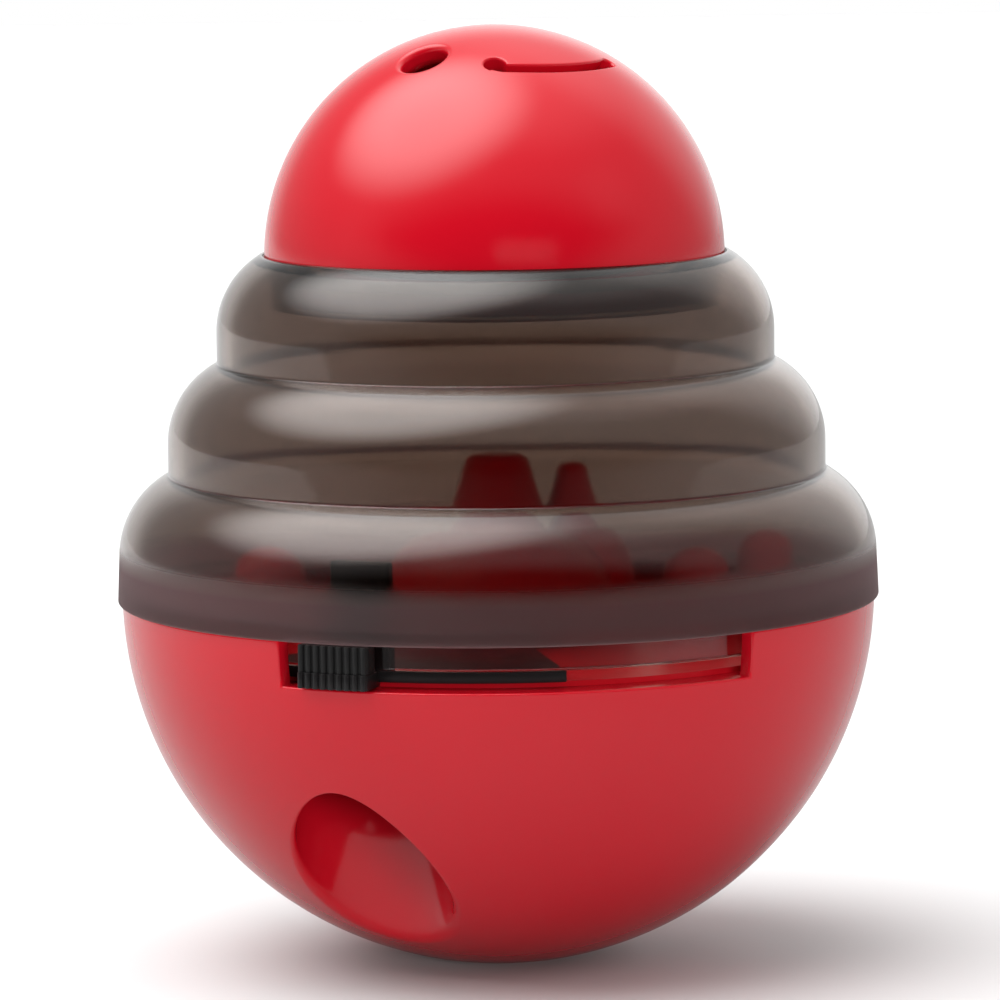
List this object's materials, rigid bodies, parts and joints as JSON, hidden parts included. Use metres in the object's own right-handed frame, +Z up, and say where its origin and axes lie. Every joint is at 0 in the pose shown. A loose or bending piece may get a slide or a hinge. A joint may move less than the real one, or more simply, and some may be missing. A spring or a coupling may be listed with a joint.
{
  "type": "treat dispensing ball",
  "caption": "Weighted round treat tumbler: a bowl with outlet wells, a sliding gate with a ribbed grip, a stepped smoke shell and a screw-on dome.",
  "frame": {"origin": "middle of the small flat on the bowl's underside that the ball stands on", "axes": "+Z up along the axis of turning, -Y towards the slider's window, +X to the right seen from the window"},
  "size_m": [0.1098, 0.1098, 0.1349],
  "materials": {
    "red_plastic": "satin gloss moulded",
    "smoke_plastic": "clear smoke tint, frosted at the skirt",
    "black_plastic": "fine matt",
    "pad_rubber": "matt, ribbed",
    "seal_rubber": "matt silicone",
    "weight_steel": "plain turned",
    "screw_steel": "zinc plated"
  },
  "bodies": {
    "base": {"bowl": "red_plastic", "counterweight": "weight_steel", "weight_screw": "screw_steel", "chute_dish": "red_plastic", "dish_screws": "screw_steel", "deck": "red_plastic", "deck_screws": "screw_steel", "hub": "red_plastic", "hub_screw": "screw_steel"},
    "gate": {"gate_plate": "black_plastic", "thumb_pad": "pad_rubber"},
    "shell": {"shell": "smoke_plastic"},
    "cap_seal": {"dome_seal": "seal_rubber"},
    "dome": {"dome": "red_plastic"}
  },
  "joints": [
    {"name": "gate_turn", "type": "hinge", "parent": "base", "child": "gate", "pos_m": [0, 0, 0.0477], "axis": [0, 0, 1], "range_deg": [-2.5, 58]},
    {"name": "shell_lift", "type": "slide", "parent": "base", "child": "shell", "axis": [0, 0, 1], "range_m": [0, 0.04]},
    {"name": "dome_lift", "type": "slide", "parent": "shell", "child": "cap_seal", "axis": [0, 0, 1], "range_m": [0, 0.0081]},
    {"name": "dome_turn", "type": "hinge", "parent": "cap_seal", "child": "dome", "pos_m": [0, 0, 0.0997], "axis": [0, 0, 1], "range_deg": [0, 240]}
  ],
  "couplings": [
    {"joint": "dome_lift", "follows": "dome_turn", "m_per_rad": 0.0019099}
  ]
}
